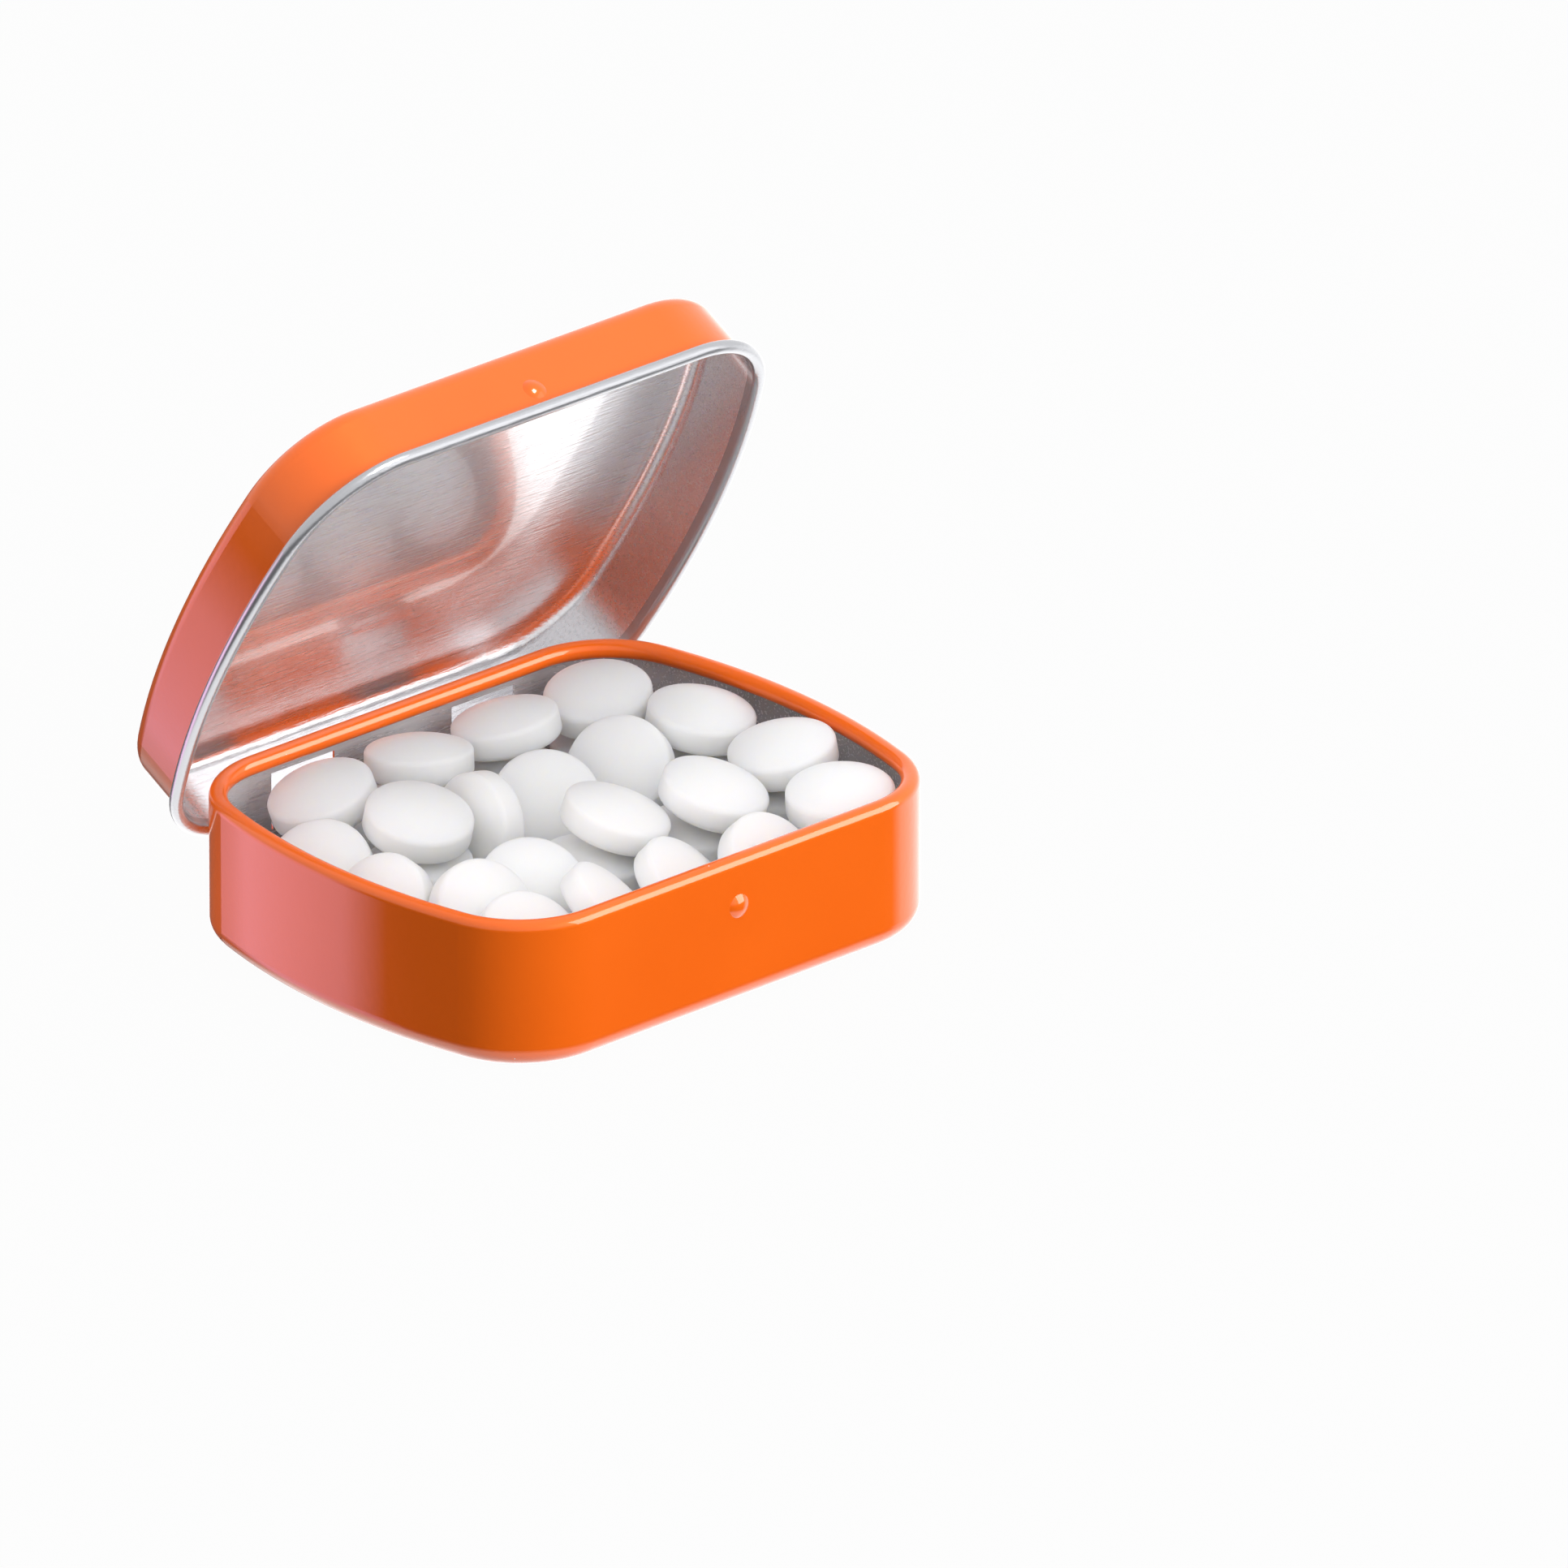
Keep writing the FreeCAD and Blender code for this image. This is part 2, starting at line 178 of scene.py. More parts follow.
@dataclass(frozen=True)
class LacqueredTinplate:
    """Cold-rolled tinplate, roller-coated with baked enamel on one side of the sheet.

    The enamel gives an even satin orange with a soft clear reflection; the bare side
    shows the long fine scratches of rolling, bright along the grain and dull across it.
    """

    enamel: str = "#FF7014"
    enamel_deep: str = "#F8690F"
    enamel_roughness: tuple[float, float] = (0.26, 0.34)
    shine_through: float = 0.08
    metal: str = "#EEEEF0"
    metal_dull: str = "#D3D2D6"
    metal_roughness: tuple[float, float] = (0.34, 0.18)
    sheet_shine: float = 1.0
    curl: str = "#B5B6BA"
    curl_roughness: float = 0.26
    curl_shine: float = 0.68
    # Real rolling marks are too fine to show in a picture of the whole tin, so they are
    # drawn coarser than life.
    grain_length: float = 3.4 * MM
    grain_width: float = 0.26 * MM
    grain_falloff: float = 0.6
    grain_depth: float = 2.0
    # The grain runs lengthwise, so the end walls keep only a share of its depth. The two
    # limits are how far a wall faces endwise where the depth starts and stops to fall.
    end_grain_depth: float = 2.0 / 6
    end_limits: tuple[float, float] = (0.3, 0.8)
    peel: float = 0.7 * MM
    cloud: float = 14 * MM
    speck: str = "#FFF4EA"
    speck_spacing: float = 2.6 * MM
    speck_share: float = 0.03
    speck_rarity: float = 0.6
    relief_depth: float = 0.05 * MM
    relief_strength: float = 0.4
    base_gloss: float = 0.05
    clear_coat: float = 1.0
    clear_roughness: float = 0.06

    def build(self, name: str, stance: Stance) -> bpy.types.Material:
        """Makes the sheet's material for one pressing.

        Args:
            name: The material's name.
            stance: How the pressing stands.

        Returns:
            The material.
        """
        material, tree, shader = new_material(name)
        upright, facing = self.stand_up(tree, stance)
        coat, above = self.sides(tree, stance, upright, facing)
        along = (1 / self.grain_length, 1 / self.grain_width, 1 / self.grain_width)
        stretched = add_node(tree, "ShaderNodeMapping", inputs={"Vector": upright, "Scale": along})
        grain = add_node(tree, "ShaderNodeTexNoise", {"noise_dimensions": "3D"}, {
            "Vector": stretched.outputs[0], "Scale": 1.0,
            "Detail": FINE, "Roughness": self.grain_falloff}).outputs["Fac"]
        cloud = add_node(tree, "ShaderNodeTexNoise", {"noise_dimensions": "3D"}, {
            "Vector": upright, "Scale": 1 / self.cloud, "Detail": MEDIUM}).outputs["Fac"]
        clean = self.colour(tree, coat, above, grain, cloud)
        shine, rough = self.gloss(tree, coat, above, grain, cloud)
        for socket, source in (
            ("Base Color", self.dust(tree, upright, clean)),
            ("Metallic", shine),
            ("Roughness", rough),
            ("Normal", self.relief(tree, upright, facing, coat, grain)),
        ):
            tree.links.new(source, shader.inputs[socket])
        shader.inputs["Specular IOR Level"].default_value = self.base_gloss
        shader.inputs["Coat Weight"].default_value = self.clear_coat
        shader.inputs["Coat Roughness"].default_value = self.clear_roughness
        return material

    def stand_up(self, tree: Tree, stance: Stance) -> tuple[Socket, Socket]:
        """Turns place and normal from the rest pose to the pressing's upright frame.

        Args:
            tree: The node tree.
            stance: How the pressing stands.

        Returns:
            The upright place and the upright normal.
        """
        place = add_node(tree, "ShaderNodeTexCoord")
        turn = stance.turn.to_euler()
        arm = add_node(tree, "ShaderNodeVectorMath", {"operation": "SUBTRACT"},
                       {0: place.outputs["Object"], 1: stance.pivot})
        upright = add_node(tree, "ShaderNodeMapping", {"vector_type": "POINT"},
                           {"Vector": arm.outputs[0], "Location": stance.pivot, "Rotation": turn})
        facing = add_node(tree, "ShaderNodeMapping", {"vector_type": "POINT"},
                          {"Vector": place.outputs["Normal"], "Rotation": turn})
        return upright.outputs[0], facing.outputs[0]

    def sides(self, tree: Tree, stance: Stance, upright: Socket,
              facing: Socket) -> tuple[Socket, Socket]:
        """Tells the enamelled side of the sheet from its bare side.

        Args:
            tree: The node tree.
            stance: How the pressing stands.
            upright: The upright place.
            facing: The upright normal.

        Returns:
            One where there is enamel, and one wherever the sheet is above its bare curl.
        """
        ray = add_node(tree, "ShaderNodeVectorMath", {"operation": "SUBTRACT"},
                       {0: upright, 1: stance.heart})
        away = add_node(tree, "ShaderNodeVectorMath", {"operation": "DOT_PRODUCT"},
                        {0: ray.outputs[0], 1: facing})
        outside = add_node(tree, "ShaderNodeMath", {"operation": "GREATER_THAN"},
                           {0: away.outputs["Value"], 1: 0.0})
        height = add_node(tree, "ShaderNodeSeparateXYZ", inputs={0: upright})
        rolled = add_node(tree, "ShaderNodeMath", {"operation": "GREATER_THAN"},
                          {0: height.outputs["Z"], 1: stance.coated_above})
        above = add_node(tree, "ShaderNodeMath", {"operation": "GREATER_THAN"},
                         {0: height.outputs["Z"], 1: stance.bare_below})
        either = add_node(tree, "ShaderNodeMath", {"operation": "MAXIMUM"},
                          {0: outside.outputs[0], 1: rolled.outputs[0]})
        coat = add_node(tree, "ShaderNodeMath", {"operation": "MULTIPLY"},
                        {0: either.outputs[0], 1: above.outputs[0]})
        return coat.outputs[0], above.outputs[0]

    def colour(self, tree: Tree, coat: Socket, above: Socket, grain: Socket,
               cloud: Socket) -> Socket:
        """Colours the enamel, the bare sheet and the curl.

        Args:
            tree: The node tree.
            coat: One where there is enamel.
            above: One above the bare curl.
            grain: The pattern of the rolling marks.
            cloud: The slow drift of the enamel's colour.

        Returns:
            The colour of the clean sheet.
        """
        sheet = add_node(tree, "ShaderNodeMix", {"data_type": "RGBA"},
                         {"Factor": grain, LOW: linear(self.metal_dull), HIGH: linear(self.metal)})
        metal = add_node(tree, "ShaderNodeMix", {"data_type": "RGBA"},
                         {"Factor": above, LOW: linear(self.curl), HIGH: sheet.outputs[MIXED]})
        enamel = add_node(tree, "ShaderNodeMix", {"data_type": "RGBA"}, {
            "Factor": cloud, LOW: linear(self.enamel_deep), HIGH: linear(self.enamel)})
        both = add_node(tree, "ShaderNodeMix", {"data_type": "RGBA"},
                        {"Factor": coat, LOW: metal.outputs[MIXED], HIGH: enamel.outputs[MIXED]})
        return both.outputs[MIXED]

    def dust(self, tree: Tree, upright: Socket, clean: Socket) -> Socket:
        """Scatters a few pale specks of sugar over the clean sheet.

        Args:
            tree: The node tree.
            upright: The upright place.
            clean: The colour of the clean sheet.

        Returns:
            The colour of the dusty sheet.
        """
        cells = add_node(tree, "ShaderNodeTexVoronoi", {"voronoi_dimensions": "3D"},
                         {"Vector": upright, "Scale": 1 / self.speck_spacing})
        lot = add_node(tree, "ShaderNodeSeparateColor", inputs={0: cells.outputs["Color"]})
        reach = add_node(tree, "ShaderNodeMapRange", inputs={
            "Value": lot.outputs[0], "From Min": self.speck_rarity, "To Max": self.speck_share})
        fleck = add_node(tree, "ShaderNodeMath", {"operation": "LESS_THAN"},
                         {0: cells.outputs["Distance"], 1: reach.outputs[0]})
        dusty = add_node(tree, "ShaderNodeMix", {"data_type": "RGBA"},
                         {"Factor": fleck.outputs[0], LOW: clean, HIGH: linear(self.speck)})
        return dusty.outputs[MIXED]

    def gloss(self, tree: Tree, coat: Socket, above: Socket, grain: Socket,
              cloud: Socket) -> tuple[Socket, Socket]:
        """Makes the bare sheet shine, smooth along the grain, and the enamel satin.

        Args:
            tree: The node tree.
            coat: One where there is enamel.
            above: One above the bare curl.
            grain: The pattern of the rolling marks.
            cloud: The slow drift of the enamel.

        Returns:
            How metallic and how rough the sheet is.
        """
        shine = add_node(tree, "ShaderNodeMapRange", inputs={
            "Value": above, "To Min": self.curl_shine, "To Max": self.sheet_shine})
        bare = add_node(tree, "ShaderNodeMix", {"data_type": "FLOAT"},
                        {"Factor": coat, "A": shine.outputs[0], "B": self.shine_through})
        dull, bright = self.metal_roughness
        rough_sheet = add_node(tree, "ShaderNodeMapRange", inputs={
            "Value": grain, "To Min": dull, "To Max": bright})
        rough_metal = add_node(tree, "ShaderNodeMix", {"data_type": "FLOAT"}, {
            "Factor": above, "A": self.curl_roughness, "B": rough_sheet.outputs[0]})
        smooth, coarse = self.enamel_roughness
        rough_enamel = add_node(tree, "ShaderNodeMapRange", inputs={
            "Value": cloud, "To Min": smooth, "To Max": coarse})
        rough = add_node(tree, "ShaderNodeMix", {"data_type": "FLOAT"}, {
            "Factor": coat, "A": rough_metal.outputs[0], "B": rough_enamel.outputs[0]})
        return bare.outputs[0], rough.outputs[0]

    def relief(self, tree: Tree, upright: Socket, facing: Socket, coat: Socket,
               grain: Socket) -> Socket:
        """Raises the rolling marks of the bare side and the faint peel of the enamel.

        Args:
            tree: The node tree.
            upright: The upright place.
            facing: The upright normal.
            coat: One where there is enamel.
            grain: The pattern of the rolling marks.

        Returns:
            The normal.
        """
        across = add_node(tree, "ShaderNodeSeparateXYZ", inputs={0: facing})
        endwise = add_node(tree, "ShaderNodeMath", {"operation": "ABSOLUTE"},
                           {0: across.outputs["X"]})
        start, stop = self.end_limits
        depth = add_node(tree, "ShaderNodeMapRange", inputs={
            "Value": endwise.outputs[0], "From Min": start, "From Max": stop,
            "To Min": self.grain_depth, "To Max": self.end_grain_depth})
        groove = add_node(tree, "ShaderNodeMath", {"operation": "MULTIPLY"},
                          {0: grain, 1: depth.outputs[0]})
        peel = add_node(tree, "ShaderNodeTexNoise", {"noise_dimensions": "3D"},
                        {"Vector": upright, "Scale": 1 / self.peel, "Detail": PLAIN})
        height = add_node(tree, "ShaderNodeMix", {"data_type": "FLOAT"},
                          {"Factor": coat, "A": groove.outputs[0], "B": peel.outputs["Fac"]})
        bump = add_node(tree, "ShaderNodeBump", inputs={
            "Height": height.outputs[0], "Strength": self.relief_strength,
            "Distance": self.relief_depth})
        return bump.outputs[0]


@dataclass(frozen=True)
class PressedSugar:
    """Pressed sugar tablet: chalk-white, dense, with the faint sheen of the die on its faces.

    Light goes a few millimetres in, so the shaded sides stay pale and a little warm.
    """

    white: str = "#FDFDFD"
    shade: str = "#F8F7F5"
    roughness: tuple[float, float] = (0.34, 0.52)
    sheen: float = 0.25
    grit: float = 0.25 * MM
    grit_depth: float = 0.02 * MM
    grit_strength: float = 0.1
    mottle: float = 3.5 * MM
    glow: float = 0.9
    glow_depth: float = 3.4 * MM
    glow_tint: tuple[float, float, float] = (1.0, 0.92, 0.74)

    def build(self) -> bpy.types.Material:
        """Makes the material.

        Returns:
            The material.
        """
        material, tree, shader = new_material("pressed_sugar")
        place = add_node(tree, "ShaderNodeTexCoord")
        mottle = add_node(tree, "ShaderNodeTexNoise", inputs={
            "Vector": place.outputs["Object"], "Scale": 1 / self.mottle, "Detail": FINE})
        grit = add_node(tree, "ShaderNodeTexNoise", inputs={
            "Vector": place.outputs["Object"], "Scale": 1 / self.grit, "Detail": MEDIUM})
        colour = add_node(tree, "ShaderNodeMix", {"data_type": "RGBA"}, {
            "Factor": mottle.outputs["Fac"], LOW: linear(self.shade), HIGH: linear(self.white)})
        smooth, coarse = self.roughness
        rough = add_node(tree, "ShaderNodeMapRange", inputs={
            "Value": mottle.outputs["Fac"], "To Min": smooth, "To Max": coarse})
        bump = add_node(tree, "ShaderNodeBump", inputs={
            "Height": grit.outputs["Fac"], "Strength": self.grit_strength,
            "Distance": self.grit_depth})
        shader.inputs["Specular IOR Level"].default_value = self.sheen
        shader.inputs["Subsurface Weight"].default_value = self.glow
        shader.inputs["Subsurface Scale"].default_value = self.glow_depth
        shader.inputs["Subsurface Radius"].default_value = self.glow_tint
        tree.links.new(colour.outputs[MIXED], shader.inputs["Base Color"])
        tree.links.new(rough.outputs[0], shader.inputs["Roughness"])
        tree.links.new(bump.outputs[0], shader.inputs["Normal"])
        return material


class Ink(Enum):
    """The two inks of the print on the lid."""

    CREAM = "#FDF0E0"
    BLACK = "#15110E"


@dataclass(frozen=True)
class ScreenInk:
    """Screen ink: an opaque film, a little duller than the enamel and faintly uneven.

    The unevenness is what the mesh of the screen left, and thin spots are a little darker.
    """

    roughness: tuple[float, float] = (0.28, 0.42)
    mesh: float = 0.5 * MM
    thin_spots: float = 0.93

    def build(self, ink: Ink) -> bpy.types.Material:
        """Makes the film of one ink.

        Args:
            ink: Which of the inks.

        Returns:
            The material.
        """
        material, tree, shader = new_material("screen_ink_" + ink.name.lower())
        place = add_node(tree, "ShaderNodeTexCoord")
        film = add_node(tree, "ShaderNodeTexNoise", inputs={
            "Vector": place.outputs["Object"], "Scale": 1 / self.mesh, "Detail": MEDIUM})
        thin = add_node(tree, "ShaderNodeHueSaturation",
                        inputs={"Value": self.thin_spots, "Color": linear(ink.value)})
        colour = add_node(tree, "ShaderNodeMix", {"data_type": "RGBA"}, {
            "Factor": film.outputs["Fac"], LOW: thin.outputs[0], HIGH: linear(ink.value)})
        smooth, coarse = self.roughness
        rough = add_node(tree, "ShaderNodeMapRange", inputs={
            "Value": film.outputs["Fac"], "To Min": smooth, "To Max": coarse})
        tree.links.new(colour.outputs[MIXED], shader.inputs["Base Color"])
        tree.links.new(rough.outputs[0], shader.inputs["Roughness"])
        return material


@dataclass(frozen=True)
class WhitePaper:
    """White background paper: matt and even, so bright that only a trace of shadow shows."""

    paper: str = "#909090"
    roughness: float = 0.9
    glow: float = 0.97

    def build(self) -> bpy.types.Material:
        """Makes the material, which the camera sees nearly plain white.

        Returns:
            The material.
        """
        material, tree, shader = new_material("white_paper")
        shader.inputs["Base Color"].default_value = linear(self.paper)
        shader.inputs["Roughness"].default_value = self.roughness
        path = add_node(tree, "ShaderNodeLightPath")
        glow = add_node(tree, "ShaderNodeEmission", inputs={"Color": WHITE, "Strength": 1.0})
        share = add_node(tree, "ShaderNodeMath", {"operation": "MULTIPLY"},
                         {0: path.outputs["Is Camera Ray"], 1: self.glow})
        both = add_node(tree, "ShaderNodeMixShader",
                        inputs={0: share.outputs[0], 1: shader.outputs[0], 2: glow.outputs[0]})
        tree.links.new(both.outputs[0], tree.nodes["Material Output"].inputs["Surface"])
        return material


class CardLight(Enum):
    """How brightly each kind of card shines back, in linear red, green and blue."""

    BLACK = (0.04, 0.04, 0.04, 1.0)
    CHARCOAL = (0.06, 0.06, 0.06, 1.0)
    GREY = (0.1, 0.1, 0.1, 1.0)
    WHITE = (1.5, 1.5, 1.5, 1.0)
    BLUSH = (2.25, 1.42, 2.1, 1.0)
    TABLE = (1.9, 1.9, 1.9, 1.0)


@dataclass(frozen=True)
class StudioCards:
    """Light and dark cards, which glossy surfaces show as bands with soft edges.

    Attributes:
        edges: Where cards start and end, as shares of a full turn from the left by way
            of the front, and their light there. The rest of the turn is black.
        table: How steeply down the bright table starts to show and shows in full.
        top: How steeply up the cards start to fade and are gone.
    """

    edges: tuple[tuple[float, CardLight], ...] = (
        (0.40, CardLight.CHARCOAL),
        (0.44, CardLight.WHITE),
        (0.65, CardLight.WHITE),
        (0.68, CardLight.GREY),
        (0.776, CardLight.GREY),
        (0.812, CardLight.BLUSH),
        (0.880, CardLight.BLUSH),
        (0.906, CardLight.BLACK))
    table: tuple[float, float] = (-0.55, -0.7)
    top: tuple[float, float] = (-0.15, 0.1)

    def build(self) -> bpy.types.Material:
        """Makes the material, which is clear above the cards.

        Returns:
            The material.
        """
        material, tree, shader = new_material("studio_cards")
        material.cycles.emission_sampling = "NONE"
        tree.nodes.remove(shader)
        place = add_node(tree, "ShaderNodeTexCoord")
        way = add_node(tree, "ShaderNodeVectorMath", {"operation": "NORMALIZE"},
                       {0: place.outputs["Object"]})
        split = add_node(tree, "ShaderNodeSeparateXYZ", inputs={0: way.outputs[0]})
        compass = add_node(tree, "ShaderNodeMath", {"operation": "ARCTAN2"},
                           {0: split.outputs["Y"], 1: split.outputs["X"]})
        turn = add_node(tree, "ShaderNodeMapRange", inputs={
            "Value": compass.outputs[0], "From Min": -math.pi, "From Max": math.pi})
        bands = add_node(tree, "ShaderNodeValToRGB", inputs={0: turn.outputs[0]})
        ramp = bands.color_ramp
        for end in ramp.elements:
            end.color = CardLight.BLACK.value
        for position, card in self.edges:
            ramp.elements.new(position).color = card.value
        deep = add_node(tree, "ShaderNodeMapRange", inputs={
            "Value": split.outputs["Z"], "From Min": self.table[0], "From Max": self.table[1]})
        level = add_node(tree, "ShaderNodeMix", {"data_type": "RGBA"}, {
            "Factor": deep.outputs[0], LOW: bands.outputs[0], HIGH: CardLight.TABLE.value})
        sky = add_node(tree, "ShaderNodeMapRange", inputs={
            "Value": split.outputs["Z"], "From Min": self.top[0], "From Max": self.top[1]})
        glow = add_node(tree, "ShaderNodeEmission",
                        inputs={"Color": level.outputs[MIXED], "Strength": 1.0})
        clear = add_node(tree, "ShaderNodeBsdfTransparent")
        both = add_node(tree, "ShaderNodeMixShader",
                        inputs={0: sky.outputs[0], 1: glow.outputs[0], 2: clear.outputs[0]})
        tree.links.new(both.outputs[0], tree.nodes["Material Output"].inputs["Surface"])
        return material


@dataclass
class Tray:
    """The pressed tray with its rolled rim."""

    hem_height: float = 1.75 * MM
    below_foot: float = 1.0 * MM

    def dress(self, finish: LacqueredTinplate) -> None:
        """Coats the tray outside and over its rim, and leaves it bare inside.

        Args:
            finish: The sheet's finish.
        """
        low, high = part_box("base_tray")
        heart = Vector((0, 0, (low.z + high.z) / 2))
        stance = Stance(Matrix.Identity(3), Vector(), heart,
                        low.z - self.below_foot, high.z - self.hem_height)
        dress(frame["nodes"]["base_tray"], finish.build("tray_tinplate", stance))


@dataclass
class Lid:
    """The hinged lid with its silver curl."""

    curl_rise: float = 0.72 * MM

    def dress(self, finish: LacqueredTinplate) -> None:
        """Coats the lid outside down to the curl, and leaves it bare inside.

        Args:
            finish: The sheet's finish.
        """
        joint = frame["joints"][0]
        pivot = Vector(joint["pos_m"])
        turn = Matrix.Rotation(math.radians(-joint["range_deg"][0]), 3, "X")
        heart = Vector((0, 0, pivot.z))
        stance = Stance(turn, pivot, heart, pivot.z + self.curl_rise, OUT_OF_REACH)
        dress(frame["nodes"]["lid"], finish.build("lid_tinplate", stance))


@dataclass
class LidPrint:
    """Garland of leaves and dots round three tablets, printed in two inks on the lid's top.

    Attributes:
        leaf: Length and greatest width of a pale leaf.
        dark_leaf: Size of a dark leaf as a share of a pale one.
        rib: Length of a leaf's rib as a share of the leaf.
        dark_rib: Width of a dark leaf's rib, in lines.
        garland: Half length and half width of the garland's line.
        leans: Turn of pale and of dark leaves out of the garland's line, in degrees.
        tablets: Place and radius of each tablet.
        inner_ring: Radius of a tablet's inner ring as a share of the tablet.
        small_dot: Size of a pale dot as a share of a dark one.
        dot_row: Distance of the dots from the garland's line, in leaf widths.
    """

    lid_top: float = 14.5 * MM
    sunk: float = 0.01 * MM
    film: float = 0.02 * MM
    weld: float = 0.001 * MM
    round_steps: int = 96
    leaf: tuple[float, float] = (8.6 * MM, 3.9 * MM)
    dark_leaf: float = 0.72
    line: float = 0.36 * MM
    rib: float = 0.72
    dark_rib: float = 1.4
    garland: tuple[float, float] = (18.6 * MM, 13.0 * MM)
    leaves: int = 14
    leans: tuple[float, float] = (-14.0, 26.0)
    tablets: tuple[tuple[float, float, float], ...] = (
        (-7.7 * MM, -1.2 * MM, 4.0 * MM),
        (0.4 * MM, 2.5 * MM, 4.4 * MM),
        (7.6 * MM, -1.7 * MM, 3.6 * MM))
    inner_ring: float = 0.74
    dot: float = 0.55 * MM
    small_dot: float = 0.8
    dot_row: float = 0.95

    def start_round(self, radius: float) -> None:
        """Adds a flat round patch at the origin and opens it for editing.

        Args:
            radius: The patch's radius.
        """
        bpy.ops.object.select_all(action="DESELECT")
        bpy.ops.mesh.primitive_circle_add(
            vertices=self.round_steps, radius=radius, fill_type="NGON")
        bpy.ops.object.mode_set(mode="EDIT")
        bpy.ops.mesh.select_all(action="SELECT")

    def start_leaf(self, length: float, width: float) -> None:
        """Opens a flat pointed patch for editing, cut from a round one and mirrored along X.

        Args:
            length: Distance between the two points.
            width: Greatest width.
        """
        radius = (length ** 2 + width ** 2) / (4 * width)
        self.start_round(radius)
        bpy.ops.transform.translate(value=(0, width / 2 - radius, 0))
        bpy.ops.mesh.bisect(plane_co=(0, 0, 0), plane_no=(0, 1, 0), clear_inner=True)
        bpy.ops.mesh.select_all(action="SELECT")
        bpy.ops.mesh.duplicate()
        bpy.ops.transform.resize(value=(1, -1, 1), center_override=(0, 0, 0))
        bpy.ops.mesh.select_all(action="SELECT")
        bpy.ops.mesh.remove_doubles(threshold=self.weld)
        bpy.ops.mesh.normals_make_consistent(inside=False)

    def hollow_out(self) -> None:
        """Leaves only a line along the edge of the open patch."""
        bpy.ops.mesh.select_all(action="SELECT")
        bpy.ops.mesh.inset(thickness=self.line, use_boundary=True)
        bpy.ops.mesh.delete(type="FACE")

    def raise_film(self, coats: int) -> bpy.types.Object:
        """Gives the open patch the thickness of its coats of ink and closes it.

        Args:
            coats: How many films deep it lies.

        Returns:
            The patch.
        """
        bpy.ops.mesh.select_all(action="SELECT")
        bpy.ops.transform.translate(value=(0, 0, -self.sunk))
        bpy.ops.mesh.extrude_region_move(
            TRANSFORM_OT_translate={"value": (0, 0, self.sunk + coats * self.film)})
        bpy.ops.mesh.select_all(action="SELECT")
        bpy.ops.mesh.normals_make_consistent(inside=False)
        bpy.ops.object.mode_set(mode="OBJECT")
        return bpy.context.object

    def copies(self, patch: bpy.types.Object, places: list[Matrix]) -> list[bpy.types.Object]:
        """Copies a patch to every place and removes the first one.

        Args:
            patch: The patch, lying at the origin.
            places: Where the copies go on the closed lid.

        Returns:
            The copies.
        """
        made = []
        for place in places:
            twin = patch.copy()
            twin.data = patch.data.copy()
            twin.data.transform(place)
            bpy.context.collection.objects.link(twin)
            made.append(twin)
        bpy.data.objects.remove(patch)
        return made

    def ring(self, outward: float, half_step: float) -> list[Matrix]:
        """Places along the garland, turned along it.

        Args:
            outward: Distance out from the garland's line.
            half_step: Shift along it, in leaves.

        Returns:
            One matrix for each leaf.
        """
        long, wide = self.garland
        places = []
        for number in range(self.leaves):
            turn = 2 * math.pi * (number + half_step) / self.leaves
            spot = Vector(((long + outward) * math.cos(turn),
                           (wide + outward) * math.sin(turn), 0))
            heading = math.atan2(wide * math.cos(turn), -long * math.sin(turn))
            lean = math.radians(self.leans[number % 2])
            places.append(Matrix.Translation(spot) @ Matrix.Rotation(heading + lean, 4, "Z"))
        return places

    def patches(self) -> dict[Ink, list[bpy.types.Object]]:
        """Models every patch of both inks, as on the closed lid with its top at zero.

        Returns:
            The patches by ink.
        """
        length, width = self.leaf
        pale, dark = self.ring(0, 0)[0::2], self.ring(0, 0)[1::2]
        small = Matrix.Diagonal((self.dark_leaf, self.dark_leaf, 1, 1))
        dark = [place @ small for place in dark]
        inks: dict[Ink, list[bpy.types.Object]] = {Ink.CREAM: [], Ink.BLACK: []}
        self.start_leaf(length, width)
        inks[Ink.CREAM] += self.copies(self.raise_film(1), pale)
        self.start_leaf(length, width)
        self.hollow_out()
        inks[Ink.BLACK] += self.copies(self.raise_film(2), pale)
        self.start_leaf(self.rib * length, self.line)
        inks[Ink.BLACK] += self.copies(self.raise_film(2), pale)
        self.start_leaf(length, width)
        inks[Ink.BLACK] += self.copies(self.raise_film(1), dark)
        self.start_leaf(self.rib * length, self.dark_rib * self.line)
        inks[Ink.CREAM] += self.copies(self.raise_film(2), dark)
        for x, y, radius in self.tablets:
            spot = [Matrix.Translation((x, y, 0))]
            self.start_round(radius)
            inks[Ink.CREAM] += self.copies(self.raise_film(1), spot)
            for share in (1.0, self.inner_ring):
                self.start_round(radius * share)
                self.hollow_out()
                inks[Ink.BLACK] += self.copies(self.raise_film(2), spot)
        row = width * self.dot_row
        self.start_round(self.dot)
        inks[Ink.BLACK] += self.copies(self.raise_film(1), self.ring(row, 0.5))
        self.start_round(self.small_dot * self.dot)
        inks[Ink.CREAM] += self.copies(self.raise_film(1), self.ring(-row, 0.5))
        return inks

